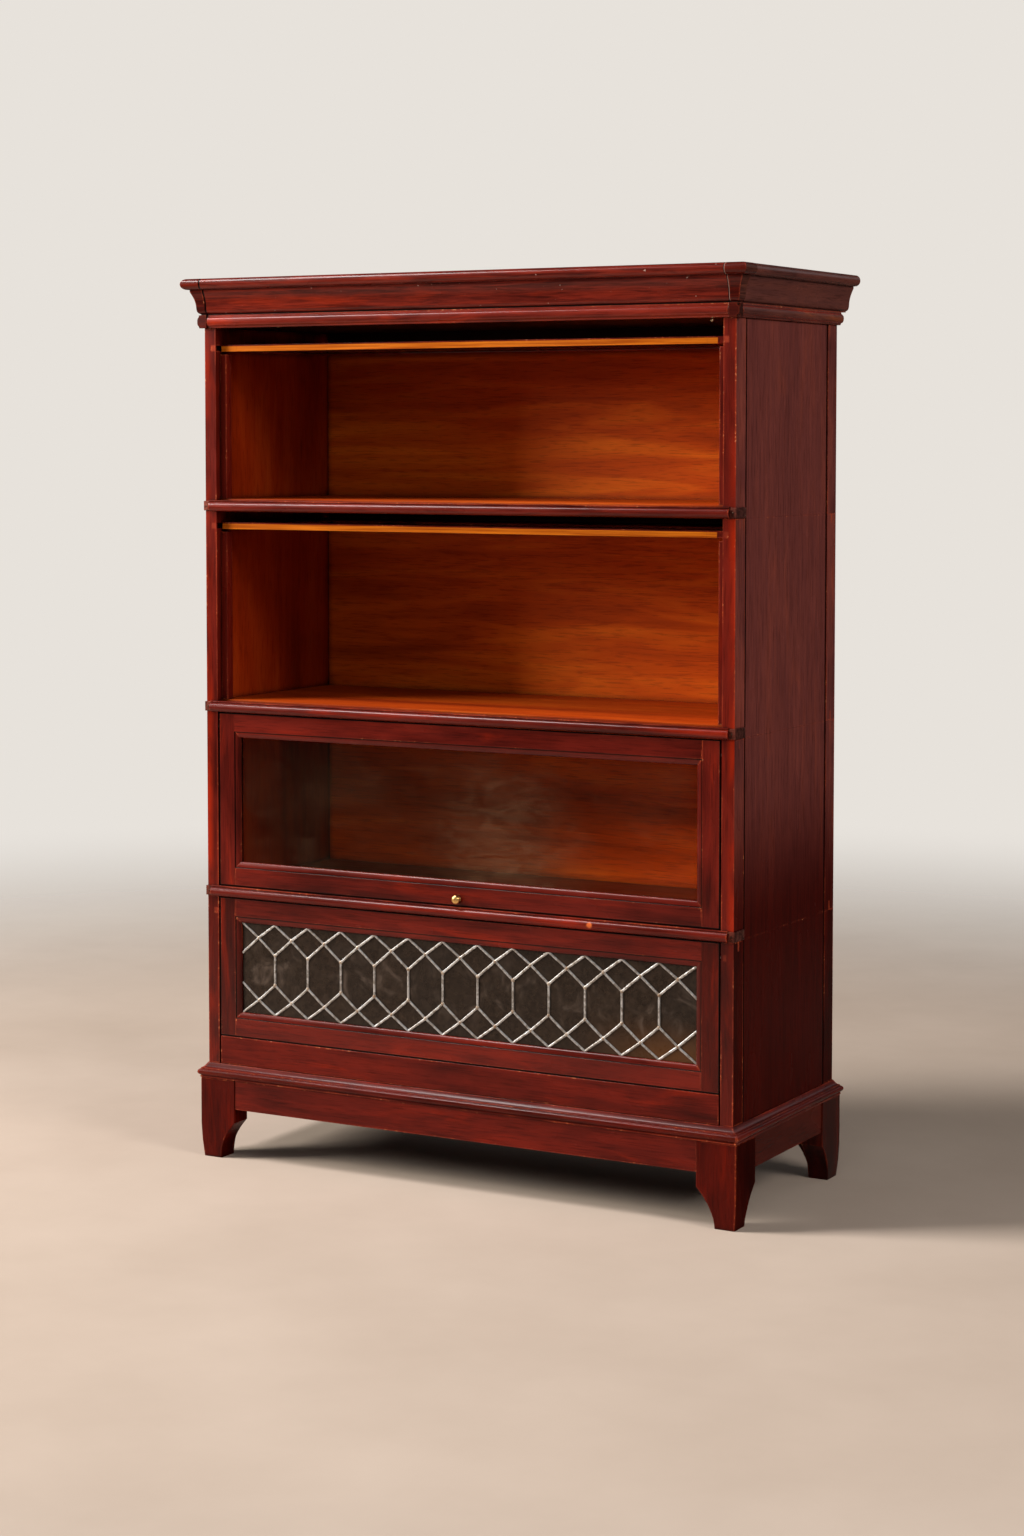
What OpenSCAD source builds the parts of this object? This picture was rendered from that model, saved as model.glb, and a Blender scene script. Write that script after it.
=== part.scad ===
// Barrister bookcase: four stacked units on a legged base, under a moulded crown.
// Each unit has a lift-up glazed door that slides back over its books.
// Unit 1 is the top one and unit 4 the bottom one. Doors 1 and 2 are put away,
// doors 3 and 4 are closed. The origin is on the floor, under the case's middle.

/* [Case] */
// Width of the case over its sides
case_w = 864; // [760:1:1000]
// Depth of the case from front posts to rear posts
case_d = 342; // [330:1:380]
// Thickness of the sides and width of the posts' front faces
side_t = 19; // [18:1:24]
// Depth of each corner post, front to back
post_d = 31; // [28:1:36]
// Thickness of the back panels
back_t = 8; // [6:1:10]
// How far the back panels stand in from the rear posts' rear faces
back_inset = 28; // [20:1:30]

/* [Units] */
// Height of unit 1, at the top
unit_1_h = 270; // [250:1:280]
// Height of unit 2
unit_2_h = 298; // [250:1:305]
// Height of unit 3
unit_3_h = 276; // [250:1:305]
// Height of unit 4, at the bottom
unit_4_h = 252; // [230:1:290]
// Thickness of each shelf
shelf_t = 14; // [12:1:16]
// Height of the rounded nosing on the front of each shelf
nosing_h = 16; // [14:1:17]
// How far a nosing stands in front of the posts
nosing_out = 7; // [4:1:9]
// Height of the plain rail under the bottom door
toe_rail_h = 42; // [30:1:50]

/* [Doors] */
// Thickness of the door frames
door_t = 10; // [10:0.5:11]
// Width of the flat face of stiles and rails
frame_w = 27; // [24:1:30]
// Width of the moulded edge next to the glass
sticking_w = 9; // [8:1:10]
// Thickness of the glass
glass_t = 3; // [2:0.5:3]
// Gap between a door and the wood around it
door_gap = 1.5; // [1.5:0.5:2]
// Pivot height below the ceiling of unit 1
pivot_drop_1 = 29.5; // [22:0.5:30]
// Pivot height below the ceilings of units 2 to 4
pivot_drop = 21.5; // [20:0.5:24]
// How far a door that is put away stands behind the posts' front faces
stow_inset = 12; // [6:1:14]
// Diameter of the brass knob
knob_dia = 13; // [10:1:14]
// Half-width cells of the leaded pattern across the glass, two to each diamond
came_cells = 26; // [22:2:30]
// Width of a lead came
came_w = 3.8; // [3:0.1:6]

/* [Crown] */
// Height of the crown over the case
crown_h = 72; // [72:1:76]
// How far the crown stands out from the case, all round
crown_out = 25; // [25:1:28]

/* [Base] */
// Height of the base, from the floor to the case
base_h = 142; // [136:1:160]
// Height of the moulding round the top of the base
base_mould_h = 22; // [22:1:24]
// How far the legs stand out from the case
leg_out = 9; // [8:1:10]
// Width of a leg at its top
leg_w = 60; // [54:1:66]
// Depth of a leg at its top, from front to back
leg_deep = 64; // [58:1:70]
// Width of a leg at the floor, with its outer taper
foot_w = 33.5; // [30:0.5:38]
// Depth of a leg at the floor, with its outer taper
foot_deep = 37; // [30:0.5:40]
// Height of the curved cut in a leg
leg_cut_h = 56; // [40:1:60]
// Height of the aprons between the legs
apron_h = 44; // [36:1:50]

/* [Hidden] */
$fn = 48;
eps = 0.01;
reach = 60;              // beyond any moulding, for cutting shapes

front_y = -case_d / 2;
rear_y = case_d / 2;
side_x = case_w / 2;
inner_x = side_x - side_t;
back_y = rear_y - back_inset - back_t;
unit_h = [unit_1_h, unit_2_h, unit_3_h, unit_4_h];
unit_z = [
    base_h + unit_4_h + unit_3_h + unit_2_h,
    base_h + unit_4_h + unit_3_h,
    base_h + unit_4_h,
    base_h
];
top_z = unit_z[0] + unit_h[0];

// Front member of unit n, then its shelf and door heights
shelf_step = 2;          // the shelf's top over the nosing's top
function front_h(n) = n == 4 ? toe_rail_h : nosing_h;
function floor_z(n) = unit_z[n - 1] + front_h(n) + shelf_step;
function door_z(n) = unit_z[n - 1] + front_h(n) + door_gap;
function door_h(n) = unit_z[n - 1] + unit_h[n - 1] - door_gap - door_z(n);
function pivot_z(n) = unit_z[n - 1] + unit_h[n - 1] - (n == 1 ? pivot_drop_1 : pivot_drop);

// Door frames, flush with the posts when closed
door_side_gap = 2.5;
door_set = 0.5;          // closed doors stand this far behind the posts' faces
door_w = 2 * (inner_x - door_side_gap);
door_y = front_y + door_set;
pivot_y = door_y + door_t / 2;
sight_w = frame_w + sticking_w;
rebate_w = 6;
glass_play = 0.5;                 // all round the glass in its rebate
glass_y = door_t - glass_t - 1;   // glass front, behind the frame's face
shelf_front = 11;                 // shelf front edge, behind the posts' faces
knob_z = 9.5;                     // knob's centre over the door's lower edge

// Pivot pins turn in the stiles, and their rollers run in grooves in the sides
pin_r = 2.5;
bore_r = 2.55;
pin_in_stile = 12;
bore_depth = 14;
roller_r = 3.7;
roller_len = 6;
roller_gap = 1;
groove_h = 8;
groove_deep = 8;
groove_start = 0.2;      // groove ahead of the roller, at the front
groove_end = 5;          // groove past the roller's centre, at the rear

// A stowed door lies level, with its lower edge at the front
function travel(n) = stow_inset - door_set - door_t / 2 + pivot_z(n) - door_z(n);
function stowed(n) = n <= 2;

strap_t = 2.2;
strap_set = 1;           // straps are this much lower than a nosing, above and below
strap_gap = 0.3;         // between a strap and a wooden nosing
strap_short = 8;         // wooden nosings stop this far from the corners
dowel_r = 4;
dowel_hole_r = 4.05;
dowel_len = 24;
stop_w = 11;
stop_d = 14;
stop_h = 60;
v_groove = 3;            // shadow line between post and side panel
panel_set = 0.6;         // side panels stand this far inside the posts' faces

leg_h = base_h - base_mould_h;
ring_t = 8;              // crown and base rings reach this far inside the case line
mitre_gap = 0.3;         // open joint line in the base moulding's mitres
bead_h = 19;
nose_r = 8;
block_proud = 1.2;
block_x = 426;
block_back = 10;         // corner blocks end this far behind the case's front
board_t = 12;            // top and ceiling boards of the crown
top_sunk = 0.6;          // top board lower than the moulding round it
back_rest = 6;           // the crown's back board starts this far behind the case

mahogany = [0.30, 0.07, 0.05];
oak = [0.66, 0.30, 0.10];
brass = [0.78, 0.60, 0.28];
steel = [0.55, 0.55, 0.56];
dark_metal = [0.20, 0.15, 0.13];
lead = [0.62, 0.62, 0.60];

// ---- Helpers ----

module both_sides() {
    children();
    mirror([1, 0, 0]) children();
}

module front_and_rear() {
    children();
    mirror([0, 1, 0]) children();
}

// A box given by its lowest and highest corners
module block(low, high) {
    translate(low) cube(high - low);
}

// Sections have x pointing outwards from the case and y pointing up.
// along_front runs one along the front, along_side along the right-hand side.
module along_front(x0, x1, z) {
    translate([x0, front_y, z]) rotate([90, 0, 90])
        linear_extrude(x1 - x0) mirror([1, 0]) children();
}

module along_side(y0, y1, z) {
    translate([side_x, y1, z]) rotate([90, 0, 0])
        linear_extrude(y1 - y0) children();
}

// Everything in front of the 45 degree mitres at the two front corners
module front_wedge(h) {
    far = [side_x + reach, front_y - reach];
    near = [side_x - reach, front_y + reach];
    linear_extrude(h) polygon([[-far[0], far[1]], far, near, [-near[0], near[1]]]);
}

// Everything on the right of the front and rear right-hand mitres
module side_wedge(h) {
    linear_extrude(h) polygon([
        [side_x + reach, front_y - reach], [side_x + reach, rear_y + reach],
        [side_x - reach, rear_y - reach], [side_x - reach, front_y + reach]
    ]);
}

// ---- Base ----

leg_wall = 34;           // each leg is two boards this thick that meet at the corner

// One leg, seen from an outer face: plain at the top, cut to a narrow foot
module leg_section(wide, foot) {
    outer = [[0, leg_h], [0, 50], [1.2, 25], [3.5, 0]];
    inner = [
        for (i = [0 : 8])
            let (t = i / 8) [foot + (wide - foot) * t * t, leg_cut_h * t]
    ];
    polygon(concat(outer, inner, [[wide, leg_h]]));
}

// From the outer corner inwards, along x and along y
module leg() {
    intersection() {
        translate([0, leg_deep, 0]) rotate([90, 0, 0])
            linear_extrude(leg_deep) leg_section(leg_w, foot_w);
        rotate([90, 0, 90]) linear_extrude(leg_w) leg_section(leg_deep, foot_deep);
        linear_extrude(leg_h) union() {
            square([leg_w, leg_wall]);
            square([leg_wall, leg_deep]);
        }
    }
}

module leg_pair() {
    both_sides() translate([-side_x - leg_out, front_y - leg_out, 0]) leg();
}

module base_front_legs() {
    color(mahogany) leg_pair();
}

module base_rear_legs() {
    color(mahogany) mirror([0, 1, 0]) leg_pair();
}

apron_t = 16;
apron_set = 1.5;         // aprons stand behind the legs' faces
apron_z = leg_h - apron_h;
apron_x = side_x + leg_out - leg_w;
apron_y = rear_y + leg_out - leg_deep;

module long_apron() {
    y0 = front_y - leg_out + apron_set;
    block([-apron_x, y0, apron_z], [apron_x, y0 + apron_t, leg_h]);
}

module base_front_apron() {
    color(mahogany) long_apron();
}

module base_rear_apron() {
    color(mahogany) mirror([0, 1, 0]) long_apron();
}

module base_side_aprons() {
    x1 = side_x + leg_out - apron_set;
    color(mahogany) both_sides()
        block([x1 - apron_t, -apron_y, apron_z], [x1, apron_y, leg_h]);
}

// Cyma slope over a half-round nose
module base_mould_section() {
    slope = [for (i = [0 : 6]) let (t = i / 6) [1.5 + 7.5 * t, 21.5 - 7 * sin(90 * t)]];
    nose = [for (a = [80 : -20 : -80]) [8.2 + 4.8 * cos(a), 8.2 + 4.8 * sin(a)]];
    polygon(concat([[-ring_t, 22], [1.5, 22]], slope, nose, [[9.8, 2], [9.8, 0], [-ring_t, 0]]));
}

module base_moulding() {
    color(mahogany) {
        front_and_rear() intersection() {
            along_front(-side_x - reach, side_x + reach, leg_h) base_mould_section();
            translate([0, -mitre_gap, 0]) front_wedge(base_h);
        }
        both_sides() intersection() {
            along_side(front_y - reach, rear_y + reach, leg_h) base_mould_section();
            side_wedge(base_h);
        }
    }
}

deck_t = 10;

module base_deck() {
    color(oak) block(
        [-side_x + ring_t, front_y + ring_t, base_h - deck_t],
        [side_x - ring_t, rear_y - ring_t, base_h]
    );
}

// ---- Units ----

// The groove that the roller of door n runs in, on the right-hand side
module roller_groove(n) {
    z = pivot_z(n);
    y0 = pivot_y - roller_r - groove_start;
    y1 = pivot_y + travel(n) + groove_end;
    block([inner_x - eps, y0, z - groove_h / 2], [inner_x + groove_deep, y1, z + groove_h / 2]);
}

// The side panel, with a shadow line along each post
module right_side(n) {
    z0 = unit_z[n - 1];
    z1 = z0 + unit_h[n - 1];
    y0 = front_y + post_d;
    y1 = rear_y - post_d;
    color(mahogany) difference() {
        block([inner_x, y0, z0], [side_x - panel_set, y1, z1]);
        block([side_x - v_groove, y0 - eps, z0 - eps], [side_x, y0 + v_groove, z1 + eps]);
        block([side_x - v_groove, y1 - v_groove, z0 - eps], [side_x, y1 + eps, z1 + eps]);
        roller_groove(n);
    }
}

module left_side(n) {
    mirror([1, 0, 0]) right_side(n);
}

// Four corner posts, doweled to the posts of the units above and below
module posts(n) {
    z0 = unit_z[n - 1];
    z1 = z0 + unit_h[n - 1];
    color(mahogany) both_sides() {
        difference() {
            block([inner_x, front_y, z0], [side_x, front_y + post_d, z1]);
            roller_groove(n);
            dowel_holes(n);
        }
        difference() {
            block([inner_x, rear_y - post_d, z0], [side_x, rear_y, z1]);
            dowel_holes(n);
        }
    }
}

dowel_x = side_x - side_t / 2 + 4;
dowel_y = rear_y - post_d / 2;

module dowel_holes(n) {
    deep = dowel_len / 2 + 1;
    z0 = unit_z[n - 1];
    z1 = z0 + unit_h[n - 1];
    front_and_rear() {
        if (n < 4) translate([dowel_x, dowel_y, z0 - 1]) cylinder(r = dowel_hole_r, h = deep + 1);
        if (n > 1) translate([dowel_x, dowel_y, z1 - deep]) cylinder(r = dowel_hole_r, h = deep + 1);
    }
}

module stacking_dowels() {
    color(oak) for (n = [1 : 3]) both_sides() front_and_rear()
        translate([dowel_x, dowel_y, unit_z[n - 1] - dowel_len / 2])
            cylinder(r = dowel_r, h = dowel_len);
}

module back_panel(n) {
    z0 = unit_z[n - 1];
    color(oak) block([-inner_x, back_y, z0], [inner_x, back_y + back_t, z0 + unit_h[n - 1]]);
}

module shelf(n) {
    color(oak) block(
        [-inner_x, front_y + shelf_front, floor_z(n) - shelf_t],
        [inner_x, back_y, floor_z(n)]
    );
}

// Rounded front with a small fillet over it
module nosing_section() {
    r = nosing_h / 2 - 1;
    nose = [for (a = [70 : -20 : -90]) [nosing_out - r + r * cos(a), r + r * sin(a)]];
    polygon(concat(
        [[-shelf_front, nosing_h], [nosing_out - 3.5, nosing_h], [nosing_out - 3.5, nosing_h - 1.6]],
        nose, [[-shelf_front, 0]]
    ));
}

module nosing(n) {
    z0 = unit_z[n - 1];
    x1 = side_x - strap_short;
    color(mahogany) difference() {
        along_front(-x1, x1, z0) nosing_section();
        both_sides() block([inner_x, front_y, z0 - 1], [side_x, front_y + post_d, z0 + nosing_h + 1]);
    }
}

module unit_4_toe_rail() {
    x1 = door_w / 2;
    color(mahogany) block([-x1, door_y, base_h], [x1, front_y + shelf_front, base_h + toe_rail_h]);
}

// Cleats that the closed doors rest against
module door_stops() {
    y0 = front_y + shelf_front;
    color(mahogany) for (n = [1 : 4]) both_sides() block(
        [inner_x - stop_w, y0, floor_z(n)],
        [inner_x, y0 + stop_d, floor_z(n) + stop_h]
    );
}

// Metal straps round the front corners: one each side over every unit joint
module corner_straps() {
    color(dark_metal) for (n = [1 : 3]) both_sides() difference() {
        block(
            [side_x - strap_short + strap_gap, front_y - strap_t, unit_z[n - 1] + strap_set],
            [side_x + strap_t, front_y + post_d - 1, unit_z[n - 1] + nosing_h - strap_set]
        );
        block([0, front_y, 0], [side_x, rear_y, top_z]);
    }
}

// ---- Doors ----

// Moves a closed door n to where it is kept: doors 1 and 2 are put away
module place_door(n) {
    if (stowed(n)) {
        translate([0, pivot_y + travel(n), pivot_z(n)]) rotate([-90, 0, 0])
            translate([0, -pivot_y, -pivot_z(n)]) children();
    } else {
        children();
    }
}

// Frame section: x in from the outer edge, y back from the front face
module frame_section() {
    ovolo = [
        for (i = [0 : 6])
            let (a = 15 * i) [frame_w + 1.2 + (sticking_w - 1.2) * sin(a), 5 - 4.2 * cos(a)]
    ];
    polygon(concat(
        [[0, 0], [frame_w, 0], [frame_w, 0.8]], ovolo,
        [[sight_w, glass_y], [sight_w - rebate_w, glass_y], [sight_w - rebate_w, door_t], [0, door_t]]
    ));
}

// The left-hand stile, from the door's lower left corner
module stile(n) {
    h = door_h(n);
    s = sight_w;
    f = frame_w;
    intersection() {
        linear_extrude(h) frame_section();
        translate([0, door_t + 1, 0]) rotate([90, 0, 0]) linear_extrude(door_t + 2)
            polygon([[0, 0], [f, 0], [f, f], [s, s], [s, h - s], [f, h - f], [f, h], [0, h]]);
    }
}

// The lower rail, mitred where its moulded edge meets the stiles'
module rail() {
    w = door_w;
    s = sight_w;
    f = frame_w;
    intersection() {
        rotate([90, 0, 90]) linear_extrude(w) mirror([1, 0]) rotate(90) frame_section();
        translate([0, door_t + 1, 0]) rotate([90, 0, 0]) linear_extrude(door_t + 2)
            polygon([[f, 0], [w - f, 0], [w - f, f], [w - s, s], [s, s], [f, f]]);
    }
}

module door_stiles(n) {
    color(mahogany) place_door(n) both_sides() difference() {
        translate([-door_w / 2, door_y, door_z(n)]) stile(n);
        translate([-door_w / 2 - 1, pivot_y, pivot_z(n)]) rotate([0, 90, 0])
            cylinder(r = bore_r, h = bore_depth + 1);
    }
}

module door_rails(n) {
    z0 = door_z(n);
    color(mahogany) place_door(n) {
        translate([-door_w / 2, door_y, z0]) rail();
        translate([-door_w / 2, door_y, z0 + door_h(n)]) mirror([0, 0, 1]) rail();
    }
}

module door_glass(n) {
    edge = sight_w - rebate_w + glass_play;
    z0 = door_z(n) + edge;
    x1 = door_w / 2 - edge;
    color([0.55, 0.5, 0.45, 0.4]) place_door(n) block(
        [-x1, door_y + glass_y, z0],
        [x1, door_y + glass_y + glass_t, z0 + door_h(n) - 2 * edge]
    );
}

// A pivot pin in each stile, with the roller that runs in the side's groove
module door_slides(n) {
    x0 = door_w / 2 - pin_in_stile;
    x1 = inner_x + roller_gap;
    color(steel) place_door(n) both_sides() translate([0, pivot_y, pivot_z(n)]) rotate([0, 90, 0]) {
        translate([0, 0, x0]) cylinder(r = pin_r, h = x1 - x0 + 1);
        translate([0, 0, x1]) cylinder(r = roller_r, h = roller_len);
    }
}

// Turned knob near the lower edge of door 3
module door_3_knob() {
    r = knob_dia / 2;
    head = [for (a = [-60 : 15 : 90]) [r * cos(a), 6.5 + 4.5 * sin(a)]];
    color(brass) translate([0, door_y, door_z(3) + knob_z]) rotate([90, 0, 0])
        rotate_extrude() polygon(concat([[0, 0], [4.5, 0], [4.2, 1], [2.6, 1.8]], head));
}

// ---- Leaded pane of door 4 ----

came_t = 1.4;

// One came between two points of the pane
module came_bar(a, b) {
    d = b - a;
    translate(a) rotate(atan2(d[1], d[0])) translate([-came_w / 4, -came_w / 2])
        square([norm(d) + came_w / 2, came_w]);
}

// Two rows of crossings, joined by upright bars into tall six-sided panes
module came_pattern(w, h) {
    cell = w / came_cells;
    cross = 0.155 * h;
    fork = 0.335 * h;
    for (i = [0 : came_cells - 1]) {
        odd = i % 2;
        x0 = i * cell;
        x1 = x0 + cell;
        rise = odd ? [cross, 0] : [0, cross];
        fall = odd ? [cross, fork] : [fork, cross];
        came_bar([x0, rise[0]], [x1, rise[1]]);
        came_bar([x0, fall[0]], [x1, fall[1]]);
        came_bar([x0, h - rise[0]], [x1, h - rise[1]]);
        came_bar([x0, h - fall[0]], [x1, h - fall[1]]);
        if (!odd && i > 0) came_bar([x0, fork], [x0, h - fork]);
    }
}

module door_4_cames() {
    w = door_w - 2 * sight_w;
    h = door_h(4) - 2 * sight_w;
    color(lead) translate([-w / 2, door_y + glass_y, door_z(4) + sight_w]) rotate([90, 0, 0])
        linear_extrude(came_t) intersection() {
            came_pattern(w, h);
            square([w, h]);
        }
}

// ---- Crown ----

// Small round, shallow cove, then the half-round nose at the top
module crown_section() {
    cove = [for (i = [0 : 8]) let (t = i / 8) [7.5 + 7 * t - 1.7 * sin(180 * t), 27 + 26 * t]];
    c = [crown_out - nose_r, crown_h - nose_r];
    nose = [for (a = [-90 : 15 : 90]) [c[0] + nose_r * cos(a), c[1] + nose_r * sin(a)]];
    polygon(concat(
        [[-ring_t, bead_h], [2.5, bead_h], [2.5, 20.5], [5, 21.6], [6.8, 24]],
        cove, [[14.5, crown_h - 2 * nose_r]], nose, [[-ring_t, crown_h]]
    ));
}

module bead_section() {
    polygon([
        [-ring_t, 0], [3, 0], [4, 2.5], [6.8, 4], [8, 6.5], [8.3, 9.5], [8, 12.5],
        [6.4, 14.6], [4.2, 16.6], [4.2, bead_h], [-ring_t, bead_h]
    ]);
}

module crown_front() {
    color(mahogany) along_front(-block_x, block_x, top_z) crown_section();
}

module crown_sides() {
    color(mahogany) both_sides()
        along_side(front_y + block_back, rear_y + crown_out + block_proud, top_z) crown_section();
}

// Blocks that carry the moulding round the front corners, a little proud of it
module crown_corner_blocks() {
    color(mahogany) both_sides() union() {
        intersection() {
            translate([0, -block_proud, 0]) along_front(block_x, side_x + reach, top_z) crown_section();
            translate([block_proud, -block_proud, 0]) front_wedge(top_z + crown_h + 1);
        }
        difference() {
            intersection() {
                translate([block_proud, 0, 0])
                    along_side(front_y - reach, front_y + block_back, top_z) crown_section();
                translate([block_proud, -block_proud, 0]) side_wedge(top_z + crown_h + 1);
            }
            block([0, front_y - reach, 0], [block_x, rear_y, top_z + crown_h + 1]);
        }
    }
}

module crown_back() {
    x1 = side_x - ring_t;
    color(mahogany) block(
        [-x1, rear_y + back_rest, top_z + bead_h],
        [x1, rear_y + crown_out - 3, top_z + crown_h]
    );
}

module crown_top() {
    x1 = side_x - ring_t;
    color(mahogany) block(
        [-x1, front_y + ring_t, top_z + crown_h - board_t],
        [x1, rear_y + back_rest, top_z + crown_h - top_sunk]
    );
}

module crown_ceiling() {
    x1 = side_x - ring_t;
    color(oak) block([-x1, front_y + ring_t, top_z], [x1, rear_y - ring_t, top_z + board_t]);
}

// Bead strip under the crown, with small caps round the front corners
bead_short = 9;          // the front bead stops this far from the corners
cap_back = 5;            // caps end this far behind the case's front
cap_gap = 0.3;           // between a cap and the beads beside it
cap_out = 8;

module crown_bead() {
    x1 = side_x - bead_short;
    cap_x = x1 + cap_gap;
    cap_y = front_y + cap_back - cap_gap;
    color(mahogany) {
        along_front(-x1, x1, top_z) bead_section();
        both_sides() along_side(front_y + cap_back, rear_y + back_rest, top_z) bead_section();
        both_sides() intersection() {
            union() {
                along_front(cap_x, side_x + reach, top_z) bead_section();
                along_side(front_y - reach, cap_y, top_z) bead_section();
            }
            block([cap_x, front_y - cap_out, top_z], [side_x + cap_out, cap_y, top_z + bead_h]);
        }
        block(
            [-side_x + ring_t + 0.5, rear_y - ring_t, top_z],
            [side_x - ring_t - 0.5, rear_y, top_z + bead_h]
        );
    }
}

// ---- Nodes ----

base_front_legs();
base_rear_legs();
base_front_apron();
base_side_aprons();
base_rear_apron();
base_moulding();
base_deck();
left_side(1);  // unit_1_left_side
right_side(1);  // unit_1_right_side
posts(1);  // unit_1_posts
back_panel(1);  // unit_1_back
shelf(1);  // unit_1_shelf
nosing(1);  // unit_1_nosing
left_side(2);  // unit_2_left_side
right_side(2);  // unit_2_right_side
posts(2);  // unit_2_posts
back_panel(2);  // unit_2_back
shelf(2);  // unit_2_shelf
nosing(2);  // unit_2_nosing
left_side(3);  // unit_3_left_side
right_side(3);  // unit_3_right_side
posts(3);  // unit_3_posts
back_panel(3);  // unit_3_back
shelf(3);  // unit_3_shelf
nosing(3);  // unit_3_nosing
left_side(4);  // unit_4_left_side
right_side(4);  // unit_4_right_side
posts(4);  // unit_4_posts
back_panel(4);  // unit_4_back
shelf(4);  // unit_4_shelf
unit_4_toe_rail();
door_stiles(1);  // door_1_stiles
door_rails(1);  // door_1_rails
door_glass(1);  // door_1_glass
door_slides(1);  // door_1_slides
door_stiles(2);  // door_2_stiles
door_rails(2);  // door_2_rails
door_glass(2);  // door_2_glass
door_slides(2);  // door_2_slides
door_stiles(3);  // door_3_stiles
door_rails(3);  // door_3_rails
door_glass(3);  // door_3_glass
door_slides(3);  // door_3_slides
door_3_knob();
door_stiles(4);  // door_4_stiles
door_rails(4);  // door_4_rails
door_glass(4);  // door_4_glass
door_slides(4);  // door_4_slides
door_4_cames();
crown_front();
crown_sides();
crown_corner_blocks();
crown_back();
crown_top();
crown_ceiling();
crown_bead();
corner_straps();
stacking_dowels();
door_stops();
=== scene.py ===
"""Looks of a barrister bookcase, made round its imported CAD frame. Every length is in metres."""

import math
import random

import bmesh
import bpy
from mathutils import Matrix, Vector


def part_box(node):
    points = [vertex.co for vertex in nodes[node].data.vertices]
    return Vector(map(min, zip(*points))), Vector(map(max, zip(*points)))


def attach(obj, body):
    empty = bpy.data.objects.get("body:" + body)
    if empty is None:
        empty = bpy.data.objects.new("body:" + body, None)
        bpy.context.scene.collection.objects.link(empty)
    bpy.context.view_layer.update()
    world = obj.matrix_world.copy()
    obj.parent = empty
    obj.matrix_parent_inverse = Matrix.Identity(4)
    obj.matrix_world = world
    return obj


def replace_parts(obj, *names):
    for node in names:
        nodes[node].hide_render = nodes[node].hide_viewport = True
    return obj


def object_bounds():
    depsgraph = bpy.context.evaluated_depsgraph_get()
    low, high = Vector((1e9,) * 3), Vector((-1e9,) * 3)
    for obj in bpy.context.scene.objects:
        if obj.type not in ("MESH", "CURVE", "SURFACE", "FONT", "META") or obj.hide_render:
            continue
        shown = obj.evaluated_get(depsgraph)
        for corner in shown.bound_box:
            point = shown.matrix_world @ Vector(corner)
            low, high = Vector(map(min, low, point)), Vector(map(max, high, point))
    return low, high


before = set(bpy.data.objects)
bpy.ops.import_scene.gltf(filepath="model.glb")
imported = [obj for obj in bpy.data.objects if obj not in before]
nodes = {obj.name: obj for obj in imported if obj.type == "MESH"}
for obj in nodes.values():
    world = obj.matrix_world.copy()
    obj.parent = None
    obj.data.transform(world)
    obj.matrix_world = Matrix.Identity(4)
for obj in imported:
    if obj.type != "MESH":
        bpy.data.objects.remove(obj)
cad_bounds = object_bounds()

UNITS = (1, 2, 3, 4)
STOWED = (1, 2)
SIDES = (-1, 1)
MM = 0.001


# ---- Camera, lights and floor ----

def make_camera():
    """A long lens from the right-hand side of the front, a little below the crown."""
    data = bpy.data.cameras.new("camera")
    data.sensor_width = 36
    data.lens = 69.13
    data.shift_y = -0.10
    camera = bpy.data.objects.new("camera", data)
    camera.location = (2.1026, -3.7689, 1.079)
    tilt_down, turned = 3.46, 29.24
    camera.rotation_euler = (math.radians(90 - tilt_down), 0, math.radians(turned))
    bpy.context.scene.collection.objects.link(camera)
    bpy.context.scene.camera = camera


def area_light(name, place, target, size, power, colour):
    data = bpy.data.lights.new(name, "AREA")
    data.shape = "RECTANGLE"
    data.size, data.size_y = size
    data.energy = power
    data.color = colour
    light = bpy.data.objects.new(name, data)
    light.location = place
    light.rotation_euler = (Vector(target) - Vector(place)).to_track_quat("-Z", "Y").to_euler()
    bpy.context.scene.collection.objects.link(light)


def make_lights():
    """A window-like key from the left, a light for the tops of the mouldings, and weaker fills."""
    area_light("key", (-4.0, -2.5, 2.4), (0.1, 0, 0.7), (1.5, 1.8), 275, (1.0, 0.94, 0.86))
    area_light("mouldings", (-1.8, -1.2, 3.4), (0, 0, 0.8), (0.9, 1.1), 95, (1.0, 0.93, 0.92))
    area_light("front_fill", (1.6, -4.9, 2.8), (0, 0, 0.6), (2.4, 1.4), 30, (1.0, 0.96, 0.92))
    area_light("right_fill", (4.0, -1.2, 2.9), (0.4, 0, 0.9), (1.6, 1.6), 95, (1.0, 0.93, 0.88))
    area_light("window_behind", (2.4, 3.9, 2.6), (0.4, 0, 0.9), (2.4, 1.6), 9, (0.95, 0.96, 1.0))
    world = bpy.data.worlds.new("studio")
    bpy.context.scene.world = world
    world.use_nodes = True
    tree = world.node_tree
    backdrop = tree.nodes["Background"]
    backdrop.inputs["Color"].default_value = (0.80, 0.76, 0.71, 1)
    dim = tree.nodes.new("ShaderNodeBackground")
    dim.inputs["Color"].default_value = (0.90, 0.88, 0.86, 1)
    dim.inputs["Strength"].default_value = 0.06
    seen = tree.nodes.new("ShaderNodeLightPath")
    both = tree.nodes.new("ShaderNodeMixShader")
    tree.links.new(seen.outputs["Is Camera Ray"], both.inputs[0])
    tree.links.new(dim.outputs[0], both.inputs[1])
    tree.links.new(backdrop.outputs[0], both.inputs[2])
    tree.links.new(both.outputs[0], tree.nodes["World Output"].inputs["Surface"])
    bpy.context.scene.view_settings.view_transform = "Standard"


# ---- Node-tree helpers ----

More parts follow.
